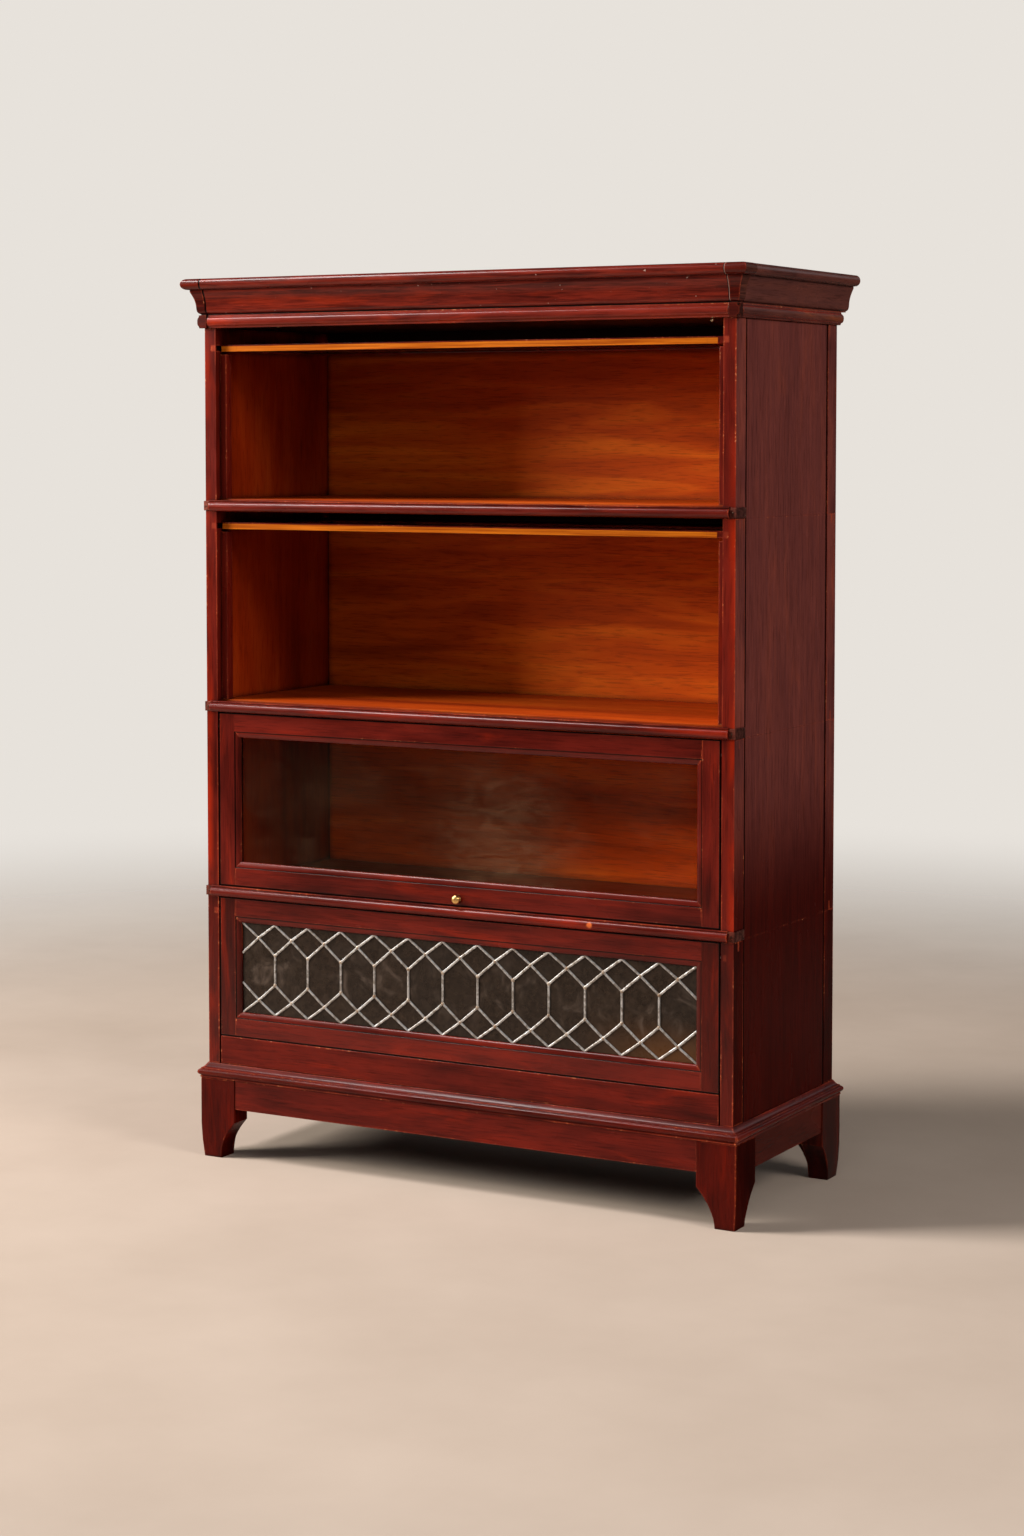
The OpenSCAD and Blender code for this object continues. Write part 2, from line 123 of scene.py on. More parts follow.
class Tree:
    """A material's node tree, with one short call for each kind of node used here."""

    def __init__(self, name):
        self.material = bpy.data.materials.new(name)
        self.material.use_nodes = True
        self.nodes = self.material.node_tree.nodes
        self.links = self.material.node_tree.links
        self.shader = self.nodes["Principled BSDF"]
        self.output = self.nodes["Material Output"]
        self.place = self.add("ShaderNodeTexCoord").outputs["Object"]
        self.xyz = self.add("ShaderNodeSeparateXYZ", {0: self.place}).outputs

    def add(self, kind, inputs=None, **settings):
        made = self.nodes.new(kind)
        for key, value in settings.items():
            setattr(made, key, value)
        for key, value in (inputs or {}).items():
            if isinstance(value, bpy.types.NodeSocket):
                self.links.new(value, made.inputs[key])
            else:
                made.inputs[key].default_value = value
        return made

    def math(self, operation, a, b=0.0, clamp=False):
        return self.add("ShaderNodeMath", {0: a, 1: b}, operation=operation, use_clamp=clamp).outputs[0]

    def mapped(self, vector, scale, move):
        inputs = {"Vector": vector, "Scale": scale, "Location": move}
        return self.add("ShaderNodeMapping", inputs).outputs[0]

    def noise(self, vector, scale, detail=4.0, roughness=0.55, distortion=0.0):
        return self.add("ShaderNodeTexNoise", {
            "Vector": vector, "Scale": scale, "Detail": detail,
            "Roughness": roughness, "Distortion": distortion,
        }).outputs[0]

    def spread(self, value, low, high, to_low=0.0, to_high=1.0):
        """value, smoothly carried from the range low..high to the range to_low..to_high."""
        return self.add("ShaderNodeMapRange", {
            "Value": value, "From Min": low, "From Max": high, "To Min": to_low, "To Max": to_high,
        }, interpolation_type="SMOOTHSTEP").outputs[0]

    def ramp(self, value, stops):
        made = self.add("ShaderNodeValToRGB", {0: value})
        elements = made.color_ramp.elements
        while len(elements) < len(stops):
            elements.new(0.5)
        for element, (position, colour) in zip(elements, stops):
            element.position = position
            element.color = (*colour, 1)
        return made.outputs[0]

    def mix(self, share, a, b, blend="MIX"):
        a, b = (v if isinstance(v, bpy.types.NodeSocket) else (*v, 1) for v in (a, b))
        made = self.add("ShaderNodeMix", {0: share, 6: a, 7: b}, data_type="RGBA", blend_type=blend)
        return made.outputs[2]

    def mix_vectors(self, share, a, b):
        return self.add("ShaderNodeMix", {0: share, 4: a, 5: b}, data_type="VECTOR").outputs[1]

    def bump(self, height, distance, strength):
        bumped = self.add("ShaderNodeBump", {"Height": height, "Distance": distance, "Strength": strength})
        self.links.new(bumped.outputs[0], self.shader.inputs["Normal"])

    def drive(self, **sockets):
        """Links or sets the Principled shader's inputs; words_like_this name Words Like This."""
        for words, value in sockets.items():
            socket = self.shader.inputs[words.replace("_", " ").title().replace("Ior", "IOR")]
            if isinstance(value, bpy.types.NodeSocket):
                self.links.new(value, socket)
            else:
                socket.default_value = value


# ---- Wood ----

AXES = {"x": (1, 0, 0), "y": (0, 1, 0), "z": (0, 0, 1)}
CASE_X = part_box("unit_1_posts")[1].x
CASE_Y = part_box("unit_1_posts")[1].y
INNER_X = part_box("unit_1_back")[1].x


def along(axis, long, across):
    """A mapping's scale: long along the grain and across the other two ways."""
    return [long if on else across for on in AXES[axis]]


def grain_space(tree, grain, long, across, seed):
    """Coordinates stretched along the grain. A ring's grain turns the corner at its mitres."""
    move = [3.7 * seed, 1.9 * seed, 2.3 * seed]
    if grain != "ring":
        return tree.mapped(tree.place, along(grain, long, across), move)
    beside = tree.math("SUBTRACT", tree.math("ABSOLUTE", tree.xyz[0]), CASE_X)
    before = tree.math("SUBTRACT", tree.math("ABSOLUTE", tree.xyz[1]), CASE_Y)
    on_side = tree.math("GREATER_THAN", beside, before)
    return tree.mix_vectors(
        on_side,
        tree.mapped(tree.place, along("x", long, across), move),
        tree.mapped(tree.place, along("y", long, across), move),
    )


MAHOGANY = {
    "dark": (0.038, 0.0034, 0.0022),
    "mid": (0.100, 0.0076, 0.0042),
    "light": (0.170, 0.0120, 0.0055),
    "glow": (0.400, 0.0210, 0.0025),
}
RUBBED = (0.36, 0.050, 0.022)
BARE_WOOD = (0.60, 0.24, 0.11)
ORANGE_WOOD = (0.50, 0.075, 0.010)
# Near-black for dark joints, and also for painted shade in creases, gaps and beside mouldings.
GRIME_AND_SHADE = (0.007, 0.0016, 0.0011)

# A light tint is light and shade painted on the right-hand side of the case: the heights where its tint
# starts and stops changing, and its low and high tints.
# On the sides: painted shade low down, and a pale painted sheen high up.
SIDE_SHADE_AND_SHEEN = (0.40, 0.64, (0.45, 0.30, 0.25), (1.45, 4.9, 7.6))
# The share of the varnish that is left on the case's sides.
SIDE_GLOSS = 0.08


def level_fade(tint):
    """A tint of painted light and shade that is the same at every height."""
    return 0, 1, tint, tint


def faded(tree, colour, fade):
    """colour, multiplied by a tint of painted light and shade on the right-hand side of the case only."""
    low_z, high_z, low, high = fade
    tint = tree.mix(tree.spread(tree.xyz[2], low_z, high_z), low, high)
    on_right = tree.math("GREATER_THAN", tree.xyz[0], 0)
    return tree.mix(on_right, colour, tree.mix(1.0, colour, tint, "MULTIPLY"))


def turned_aside(tree):
    """1 where a piece faces left or right, 0 where it faces the front or rear."""
    normal = tree.add("ShaderNodeTexCoord").outputs["Normal"]
    across = tree.add("ShaderNodeSeparateXYZ", {0: normal}).outputs[0]
    return tree.spread(tree.math("ABSOLUTE", across), 0.72, 0.92)


def near_edge(tree):
    """1 at a piece's own outer edges, fading to 0 away from them."""
    inside = tree.add("ShaderNodeAmbientOcclusion", {"Distance": 2.2 * MM}, inside=True,
                      only_local=True, samples=4).outputs["AO"]
    return tree.spread(inside, 0.96, 0.62)


def crease_shade(tree, distance=9 * MM):
    """1 deep in a joint or corner, where shade is painted, fading to 0 in the open."""
    open_sky = tree.add("ShaderNodeAmbientOcclusion", {"Distance": distance}, samples=5).outputs["AO"]
    return tree.spread(open_sky, 0.78, 0.30)


def mahogany(name, grain, seed, streaks=0.3, fine_figure=1.0, contrast=1.0, glow=0.35, wear=0.0,
             gloss=1.0, tint=(1, 1, 1), fade=None, side=None, masks=()):
    """Dark red stain under satin varnish. streaks is the share of the fine figure, contrast goes
    down to an even tone, glow is for the thin places where the wood shines through, and wear for
    rubbed and chipped edges. gloss is the share of the varnish that is left. The light tint over the
    whole piece, and side over only its faces turned to the sides, which are dull as well, are
    painted light and shade, on the right-hand side of the case only. Each of masks is called with
    the tree and returns a colour and where it goes. Shade is painted deep in joints and corners."""
    tree = Tree(name)
    figure_space = grain_space(tree, grain, 5 * fine_figure, 85 * fine_figure, seed)
    figure = tree.noise(figure_space, 1.0, 6, 0.62, 0.5)
    fine = tree.noise(grain_space(tree, grain, 26, 620, seed + 3), 1.0, 3, 0.6)
    cloud = tree.noise(grain_space(tree, grain, 5, 16, seed + 7), 1.0, 3, 0.55, 0.4)
    patch = tree.noise(grain_space(tree, grain, 4.2, 26, seed + 11), 1.0, 4, 0.6, 0.7)
    tone = tree.math("ADD", tree.spread(figure, 0.28, 0.72, 0, streaks),
                     tree.spread(cloud, 0.25, 0.75, 0, 1 - streaks))
    tone = tree.math("ADD", tree.math("MULTIPLY", tone, contrast), 0.5 * (1 - contrast))
    m = MAHOGANY
    colour = tree.ramp(tone, [(0.05, m["dark"]), (0.45, m["mid"]), (0.95, m["light"])])
    colour = tree.mix(tree.spread(patch, 0.52, 0.76, 0, glow), colour, m["glow"])
    pores = tree.spread(fine, 0.30, 0.52)
    colour = tree.mix(1.0, colour, tree.mix(pores, (0.62, 0.58, 0.55), (1, 1, 1)), "MULTIPLY")
    colour = tree.mix(1.0, colour, tint, "MULTIPLY")
    if fade:
        colour = faded(tree, colour, fade)
    if side:
        aside = turned_aside(tree)
        colour = tree.mix(aside, colour, faded(tree, colour, side))
        gloss = tree.math("MULTIPLY", tree.spread(aside, 0, 1, 1, SIDE_GLOSS), gloss)
    roughness = tree.spread(cloud, 0.3, 0.7, 0.20, 0.30)
    if wear:
        edge = near_edge(tree)
        chips = tree.noise(tree.place, 190, 4, 0.65)
        runs = tree.noise(grain_space(tree, grain, 9, 40, seed + 5), 1.0, 3, 0.6)
        rubbed = tree.math("MULTIPLY", edge, tree.spread(runs, 0.40, 0.62, 0, 0.85 * wear))
        chipped = tree.math("MULTIPLY", tree.spread(chips, 0.59 - 0.07 * wear, 0.66),
                            tree.spread(runs, 0.52 - 0.1 * wear, 0.62))
        chipped = tree.math("MULTIPLY", chipped, tree.spread(edge, 0.1, 0.5))
        colour = tree.mix(rubbed, colour, RUBBED)
        chip_colour = tree.mix(tree.spread(chips, 0.60, 0.68), ORANGE_WOOD, BARE_WOOD)
        colour = tree.mix(chipped, colour, chip_colour)
        roughness = tree.math("MAXIMUM", roughness, tree.math("MULTIPLY", chipped, 0.6))
    for mask in masks:
        other, where = mask(tree)
        colour = tree.mix(where, colour, other)
    # Painted shade: deep in joints and corners the colour goes near-black.
    crease = crease_shade(tree)
    colour = tree.mix(tree.math("MULTIPLY", crease, 0.93), colour, GRIME_AND_SHADE)
    roughness = tree.math("MAXIMUM", roughness, tree.math("MULTIPLY", crease, 0.7))
    specular, coat = 0.14, 0.10
    if side:
        specular, coat = (tree.math("MULTIPLY", gloss, level) for level in (specular, coat))
    else:
        specular, coat = specular * gloss, coat * gloss
    tree.drive(base_color=colour, roughness=roughness, specular_ior_level=specular)
    tree.drive(coat_weight=coat, coat_roughness=0.09)
    tree.bump(tree.math("ADD", fine, tree.math("MULTIPLY", cloud, 2.0)), 0.00012, 0.5)
    return tree.material


def orange_varnish(tree, grain, seed, red=0.0, shade=1.0):
    """Colour of the warm wood inside the units, and its flecks. red is how far it goes to red. Light is
    painted in: the colour grows brighter towards the right, scaled by shade, and goes near-black with
    painted shade in the inner corners.
    """
    figure = tree.noise(grain_space(tree, grain, 3.2, 34, seed), 1.0, 5, 0.55, 1.1)
    bands = tree.noise(grain_space(tree, grain, 1.6, 9, seed + 2), 1.0, 3, 0.5, 0.8)
    flecks = tree.noise(grain_space(tree, grain, 30, 420, seed + 5), 1.0, 3, 0.6)
    share = 0.5 - 0.35 * red
    tone = tree.math("ADD", tree.math("MULTIPLY", figure, share), tree.math("MULTIPLY", bands, 1 - share))
    pale = (0.84 - 0.43 * red, 0.172 - 0.130 * red, 0.0080)
    middle = (0.60 - 0.31 * red, 0.082 - 0.062 * red, 0.0030)
    deep = (0.34 - 0.17 * red, 0.038 - 0.028 * red, 0.0018)
    colour = tree.ramp(tone, [(0.34, deep), (0.50, middle), (0.66, pale)])
    pores = tree.mix(tree.spread(flecks, 0.33, 0.5), (0.74, 0.68, 0.62), (1, 1, 1))
    colour = tree.mix(1.0, colour, pores, "MULTIPLY")
    # Painted light: brighter towards the right, as if lit from the left.
    light = tree.spread(tree.xyz[0], -INNER_X, INNER_X, 0.84 * shade, 1.16 * shade)
    colour = tree.mix(1.0, colour, light, "MULTIPLY")
    # Painted shade in the inner corners.
    return tree.mix(tree.math("MULTIPLY", crease_shade(tree, 16 * MM), 0.8), colour, GRIME_AND_SHADE), flecks


def dull_back(tree, seed, low_z, high_z):
    """Colour of the unfinished, dusty outside of a back panel, dark along its joints with the next."""
    streak = tree.noise(grain_space(tree, "x", 4, 60, seed), 1.0, 5, 0.6, 0.6)
    stile_shade = tree.noise(tree.place, 6, 4, 0.6)
    colour = tree.ramp(streak, [(0.3, (0.085, 0.045, 0.024)), (0.7, (0.23, 0.125, 0.062))])
    colour = tree.mix(tree.spread(stile_shade, 0.45, 0.75, 0, 0.2), colour, (0.26, 0.17, 0.10))
    line = 1.5 * MM
    joint = tree.math("MAXIMUM", tree.math("LESS_THAN", tree.xyz[2], low_z + line),
                      tree.math("GREATER_THAN", tree.xyz[2], high_z - line))
    return tree.mix(joint, colour, GRIME_AND_SHADE)


# Painted shade: near-black for undersides and for the gap behind a door put away.
DARK_SHADE = (0.012, 0.0045, 0.0028)


def interior_wood(name, grain, seed, red=0.0, shade=1.0, panel=None, under_z=None, over_z=None):
    """Warm varnish inside, with painted shade under under_z. panel, a box's two corners, makes it a back:
    its rear half is left dull, and its front half has painted shade over over_z, where it stands
    behind a door put away. shade scales the painted light of the whole piece."""
    tree = Tree(name)
    colour, flecks = orange_varnish(tree, grain, seed, red, shade)
    roughness = tree.spread(flecks, 0.3, 0.6, 0.52, 0.42)
    if panel:
        low, high = panel
        middle_y = (low.y + high.y) / 2
        behind = tree.math("GREATER_THAN", tree.xyz[1], middle_y)
        colour = tree.mix(behind, colour, dull_back(tree, seed, low.z, high.z))
        roughness = tree.math("MAXIMUM", roughness, tree.math("MULTIPLY", behind, 0.8))
        inner = tree.math("LESS_THAN", tree.xyz[1], middle_y)
        above = tree.spread(tree.xyz[2], over_z - 12 * MM, over_z)
        colour = tree.mix(tree.math("MULTIPLY", inner, above), colour, DARK_SHADE)
    if under_z is not None:
        colour = tree.mix(tree.math("LESS_THAN", tree.xyz[2], under_z), colour, DARK_SHADE)
    tree.drive(base_color=colour, roughness=roughness, specular_ior_level=0.1)
    tree.bump(flecks, 0.0001, 0.4)
    return tree.material


def inside_face(tree):
    """A mask for the varnished inner face of a side panel."""
    inside = tree.math("LESS_THAN", tree.math("ABSOLUTE", tree.xyz[0]), INNER_X + 0.4 * MM)
    return orange_varnish(tree, "z", 4, red=0.8)[0], inside


def outer_glow(share):
    """A mask for posts that shine orange-red towards their outer arris, in long patches."""
    def mask(tree):
        out = tree.spread(tree.math("ABSOLUTE", tree.xyz[0]), INNER_X + 5 * MM, CASE_X - 2 * MM)
        front = tree.math("LESS_THAN", tree.xyz[1], 0.4 * MM - CASE_Y)
        patch = tree.noise(grain_space(tree, "z", 5.5, 14, 4), 1.0, 3, 0.55, 0.5)
        where = tree.math("MULTIPLY", tree.math("MULTIPLY", out, front), tree.spread(patch, 0.40, 0.62))
        return MAHOGANY["glow"], tree.math("MULTIPLY", where, share)
    return mask


def dark_ends(axis, end, width):
    """A mask for old wax in the joints at both ends of a piece that reaches from -end to end."""
    def mask(tree):
        return GRIME_AND_SHADE, tree.math("GREATER_THAN", tree.math("ABSOLUTE", tree.xyz[axis]), end - width)
    return mask


def frame_lines(door):
    """A mask for painted shade on a door's front: dark lines at its rim, and at the quirk beside its
    moulded edge, where shadows fall.
    """
    low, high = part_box(f"door_{door}_stiles")
    put_away = door in STOWED
    up, back = (1, 2) if put_away else (2, 1)
    rim_width, rim_depth = 1.1 * MM, 0.4 * MM
    quirk_in, quirk_depth = 27.4 * MM, 2.5 * MM

    def mask(tree):
        def past_low(axis):
            return tree.math("SUBTRACT", tree.xyz[axis], low[axis])

        def short_of_high(axis):
            return tree.math("MULTIPLY", tree.math("SUBTRACT", tree.xyz[axis], high[axis]), -1)

        depth = short_of_high(back) if put_away else past_low(back)
        beside = tree.math("SUBTRACT", high.x, tree.math("ABSOLUTE", tree.xyz[0]))
        ends = tree.math("MINIMUM", past_low(up), short_of_high(up))
        inwards = tree.math("MINIMUM", beside, ends)
        rim = tree.math("LESS_THAN", inwards, rim_width)
        rim = tree.math("MULTIPLY", rim, tree.math("LESS_THAN", depth, rim_depth))
        quirk = tree.math("ABSOLUTE", tree.math("SUBTRACT", inwards, quirk_in))
        quirk = tree.math("MULTIPLY", tree.spread(quirk, 1.2 * MM, 0.5 * MM), 0.9)
        quirk = tree.math("MULTIPLY", quirk, tree.math("LESS_THAN", depth, quirk_depth))
        return GRIME_AND_SHADE, tree.math("MAXIMUM", rim, quirk)
    return mask


def raw_edge(door):
    """A mask for the bare lower edge of a door, behind its stained front arris and short of its
    stained right end."""
    low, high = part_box(f"door_{door}_rails")
    skin, stained, end = 0.7 * MM, 2.0 * MM, INNER_X - 14 * MM

    def mask(tree):
        if door in STOWED:
            near = tree.math("LESS_THAN", tree.xyz[1], low.y + skin)
            behind = tree.math("LESS_THAN", tree.xyz[2], high.z - stained)
        else:
            near = tree.math("LESS_THAN", tree.xyz[2], low.z + skin)
            behind = tree.math("GREATER_THAN", tree.xyz[1], low.y + stained)
        where = tree.math("MULTIPLY", near, behind)
        where = tree.math("MULTIPLY", where, tree.math("LESS_THAN", tree.xyz[0], end))
        grain = tree.noise(grain_space(tree, "x", 7, 300, door), 1.0, 5, 0.6, 0.5)
        bare = tree.ramp(grain, [(0.32, (0.34, 0.060, 0.003)), (0.66, (0.72, 0.190, 0.010))])
        return bare, where
    return mask


def rubbed_through(tree):
    """A mask for one spot on the lowest nosing, rubbed through to orange wood."""
    low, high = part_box("unit_3_nosing")
    spot_x = 0.2148
    spot = Vector((spot_x, low.y, (low.z + high.z) / 2))
    off = tree.add("ShaderNodeVectorMath", {0: tree.place, 1: spot}, operation="DISTANCE").outputs["Value"]
    ragged = tree.math("ADD", off, tree.math("MULTIPLY", tree.noise(tree.place, 260, 3, 0.6), 3 * MM))
    return (0.62, 0.130, 0.030), tree.spread(ragged, 7.0 * MM, 4.2 * MM)


def plain_wood(name, colour):
    """Bare wood with a fine upright grain."""
    tree = Tree(name)
    grain = tree.noise(grain_space(tree, "z", 20, 400, 2), 1.0, 4, 0.6)
    dark = [0.6 * c for c in colour]
    tree.drive(base_color=tree.ramp(grain, [(0.3, dark), (0.7, colour)]), roughness=0.6)
    tree.bump(grain, 0.0001, 0.4)
    return tree.material


# ---- Metal and glass ----

def metal(name, bright, dull, roughness, metallic=1.0, grime=0.5):
    """Aged metal: bright where it is rubbed and dull in its blotches."""
    tree = Tree(name)
    blotch = tree.noise(tree.place, 160, 5, 0.65, 0.4)
    fine = tree.noise(tree.place, 900, 3, 0.6)
    share = tree.spread(blotch, 0.5 - 0.2 * grime, 0.5 + 0.2 * grime)
    tree.drive(
        base_color=tree.mix(share, bright, dull),
        roughness=tree.spread(blotch, 0.3, 0.7, roughness, roughness + 0.25),
        metallic=metallic,
    )
    tree.bump(fine, 0.0001, 0.35)
    return tree.material


def see_through(tree, solid, tint, face_on=0.005, gloss_roughness=0.04):
    """Tinted clear glass, hidden by the share of it that is solid, with a reflection over both that
    is as weak as face_on from in front and grows towards grazing views."""
    clear = tree.add("ShaderNodeBsdfTransparent", {"Color": (*tint, 1)}).outputs[0]
    under = tree.add("ShaderNodeMixShader", {0: solid, 1: clear, 2: tree.shader.outputs[0]}).outputs[0]
    gloss = tree.add("ShaderNodeBsdfGlossy", {"Roughness": gloss_roughness}).outputs[0]
    slant = tree.add("ShaderNodeLayerWeight", {"Blend": 0.5}).outputs["Facing"]
    mirror = tree.math("ADD", tree.math("MULTIPLY", tree.math("POWER", slant, 5), 0.6), face_on)
    both = tree.add("ShaderNodeMixShader", {0: mirror, 1: under, 2: gloss}).outputs[0]
    tree.links.new(both, tree.output.inputs["Surface"])


def dusty_glass(door):
    """A door's old glass, with a brown haze, wiped streaks, specks and a smudge right of its middle."""
    tree = Tree(f"door_{door}_glass")
    haze = tree.noise(tree.place, 7, 5, 0.6, 0.8)
    wiped = tree.noise(tree.mapped(tree.place, (16, 16, 44), (door, 0, 0)), 1.0, 5, 0.7, 1.2)
    spots = tree.noise(tree.place, 420, 2, 0.5)
    dust = tree.math("ADD", tree.spread(haze, 0.35, 0.75, 0.006, 0.022),
                     tree.spread(wiped, 0.50, 0.8, 0, 0.022))
    dust = tree.math("ADD", dust, tree.spread(spots, 0.72, 0.80, 0, 0.12))
    low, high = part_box(f"door_{door}_glass")
    smudge_at = low.lerp(high, 0.2)
    smudge_at.x = 0.2 * high.x
    off = tree.add("ShaderNodeVectorMath", {0: tree.place, 1: smudge_at}, operation="DISTANCE")
    smudge = tree.math("MULTIPLY", tree.spread(off.outputs["Value"], 0.17, 0.01),
                       tree.spread(wiped, 0.35, 0.70, 0.02, 0.09))
    dust = tree.math("ADD", dust, smudge, clamp=True)
    tree.drive(base_color=(0.34, 0.20, 0.12, 1), roughness=0.6, specular_ior_level=0.1)
    see_through(tree, dust, (0.95, 0.88, 0.74))
    return tree.material


def smoky_pane():
    """Dark, cloudy glass for the leaded panes, paler across the middle."""
    tree = Tree("smoky_pane")
    tone = tree.add("ShaderNodeAttribute", attribute_name="tone", attribute_type="GEOMETRY").outputs["Fac"]
    cloud = tree.noise(tree.place, 26, 5, 0.6, 0.9)
    grime = tree.noise(tree.place, 150, 4, 0.6)
    low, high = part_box("door_4_glass")
    middle, half = (low.z + high.z) / 2, (high.z - low.z) / 2
    from_middle = tree.math("ABSOLUTE", tree.math("SUBTRACT", tree.xyz[2], middle))
    band = tree.spread(from_middle, 0.75 * half, 0.15 * half)
    smudge = tree.math("MULTIPLY", tree.spread(cloud, 0.52, 0.72), band)
    colour = tree.ramp(grime, [(0.3, (0.017, 0.0102, 0.0064)), (0.7, (0.042, 0.0265, 0.0175))])
    warm = tree.math("MULTIPLY", tree.spread(tree.xyz[0], 0.16, high.x),
                     tree.spread(tree.xyz[2], middle, low.z))
    colour = tree.mix(warm, colour, (0.13, 0.050, 0.014))
    colour = tree.mix(tree.math("MULTIPLY", smudge, 0.36), colour, (0.19, 0.138, 0.108))
    colour = tree.mix(tree.math("MULTIPLY", tone, 0.35), colour, (0.012, 0.010, 0.009))
    tree.drive(base_color=colour, roughness=tree.spread(cloud, 0.3, 0.7, 0.2, 0.4), specular_ior_level=0.15)
    tree.bump(tree.noise(tree.place, 60, 3, 0.5), 0.0006, 0.35)
    solid = tree.spread(cloud, 0.3, 0.7, 0.80, 0.93)
    see_through(tree, solid, (0.30, 0.22, 0.15), face_on=0.0035, gloss_roughness=0.10)
    return tree.material


def floor_material():
    """Pale floor that fades into the backdrop a few metres away."""
    tree = Tree("pale_floor")
    mottle = tree.noise(tree.place, 2.2, 5, 0.6)
    tree.drive(
        base_color=tree.ramp(mottle, [(0.3, (0.52, 0.430, 0.355)), (0.7, (0.59, 0.495, 0.415))]),
        roughness=0.75, specular_ior_level=0.2,
    )
    away = tree.add("ShaderNodeVectorMath", {0: tree.place}, operation="LENGTH").outputs["Value"]
    clear = tree.add("ShaderNodeBsdfTransparent").outputs[0]
    fading = tree.add("ShaderNodeMixShader", {
        0: tree.spread(away, 1.2, 4.0), 1: tree.shader.outputs[0], 2: clear,
    }).outputs[0]
    tree.links.new(fading, tree.output.inputs["Surface"])
    return tree.material


def make_floor():
    """A plain floor, much larger than the pale part of it that is seen."""
    bm = bmesh.new()
    bmesh.ops.create_grid(bm, x_segments=8, y_segments=8, size=14)
    mesh = bpy.data.meshes.new("floor")
    bm.to_mesh(mesh)
    floor = bpy.data.objects.new("floor", mesh)
    floor.location.z = cad_bounds[0].z
    mesh.materials.append(floor_material())
    bpy.context.scene.collection.objects.link(floor)


# ---- Finishes of the CAD nodes ----

def soften(piece, width):
    """Rounds a piece's edges with modifiers."""
    weld = piece.modifiers.new("weld", "WELD")
    weld.merge_threshold = 0.005 * MM
    bevel = piece.modifiers.new("edges", "BEVEL")
    bevel.width = width
    bevel.segments = 2
    bevel.limit_method = "ANGLE"
    bevel.angle_limit = math.radians(35)
    smooth = piece.modifiers.new("normals", "WEIGHTED_NORMAL")
    smooth.keep_sharp = False


def dress(node, material, width):
    """Gives a CAD node its material and edges rounded to width."""
    piece = nodes[node]
    piece.data.materials.clear()
    piece.data.materials.append(material)
    soften(piece, width)


def dress_mahogany(node, grain, seed, width=0.8 * MM, wear=0.6, **looks):
    dress(node, mahogany(node, grain, seed, wear=wear, **looks), width)


def dress_base():
    # Painted shade: the legs are tinted darker, and the front legs' faces to the right darker still.
    leg_side = level_fade((0.5, 0.5, 0.45))
    dress_mahogany("base_front_legs", "z", 1, width=1.0 * MM, glow=0.35, wear=0.8, gloss=0.4,
                   tint=(0.56, 0.45, 0.4), side=leg_side)
    dress_mahogany("base_rear_legs", "z", 2, width=1.0 * MM, gloss=0.3, tint=(0.42, 0.42, 0.42))
    dress_mahogany("base_front_apron", "x", 3, gloss=0.6)
    dress_mahogany("base_rear_apron", "x", 4, glow=0.1)
    dress_mahogany("base_side_aprons", "y", 5, contrast=0.6, glow=0.1, gloss=0.3,
                   tint=(0.65, 0.7, 0.5))
    dress_mahogany("base_moulding", "ring", 6, width=0.4 * MM, wear=1.0, streaks=0.6, fine_figure=1.8,
                   glow=0.5, gloss=0.7, tint=(0.8, 0.7, 0.6))
    # Painted shade: all of the deck below its top face is near-black.
    deck_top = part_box("base_deck")[1].z
    deck = interior_wood("base_deck", "x", 7, red=0.3, under_z=deck_top - 1 * MM)
    dress("base_deck", deck, 0.4 * MM)


# How strongly the posts of each unit shine orange towards their outer arris.
POST_GLOW = {1: 0.35, 2: 0.6, 3: 0.65, 4: 0.1}


def dress_sides(unit):
    """A unit's side panels and posts."""
    # On the right-hand side of the case, the side panels and the posts' faces turned to the side get
    # painted shade low down and a painted sheen high up.
    for side in ("left", "right"):
        rear_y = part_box(f"unit_{unit}_{side}_side")[1].y
        dress_mahogany(f"unit_{unit}_{side}_side", "z", 10, width=0.3 * MM, streaks=0.6, fine_figure=1.6,
                       contrast=0.4, glow=0.1, wear=0.15, gloss=SIDE_GLOSS, fade=SIDE_SHADE_AND_SHEEN,
                       masks=(dark_ends(1, rear_y, 5.0 * MM), inside_face))
    # Painted shade: the lowest unit's posts are darker.
    tint = (0.72, 0.62, 0.55) if unit == 4 else (1, 1, 1)
    dress_mahogany(f"unit_{unit}_posts", "z", 10 + unit, width=0.7 * MM, wear=0.9, side=SIDE_SHADE_AND_SHEEN,
                   tint=tint, masks=(outer_glow(POST_GLOW[unit]),))


def dress_back_and_shelf(unit):
    """A unit's back and shelf. The shelves behind closed doors are redder, and darker with painted shade,
    and unit 3's back has painted light, brighter to show through its dusty glass."""
    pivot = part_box(f"door_{unit}_slides")
    back = interior_wood(f"unit_{unit}_back", "x", 20 + 3 * unit, shade=1.5 if unit == 3 else 1.0,
                         panel=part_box(f"unit_{unit}_back"), over_z=(pivot[0].z + pivot[1].z) / 2)
    dress(f"unit_{unit}_back", back, 0.3 * MM)
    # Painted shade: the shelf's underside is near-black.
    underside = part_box(f"unit_{unit}_shelf")[0].z
    red, shade = (0.45, 0.95) if unit in STOWED else (0.8, 0.6)
    shelf = interior_wood(f"unit_{unit}_shelf", "x", 40 + unit, red, shade, under_z=underside + 3 * MM)
    dress(f"unit_{unit}_shelf", shelf, 0.4 * MM)


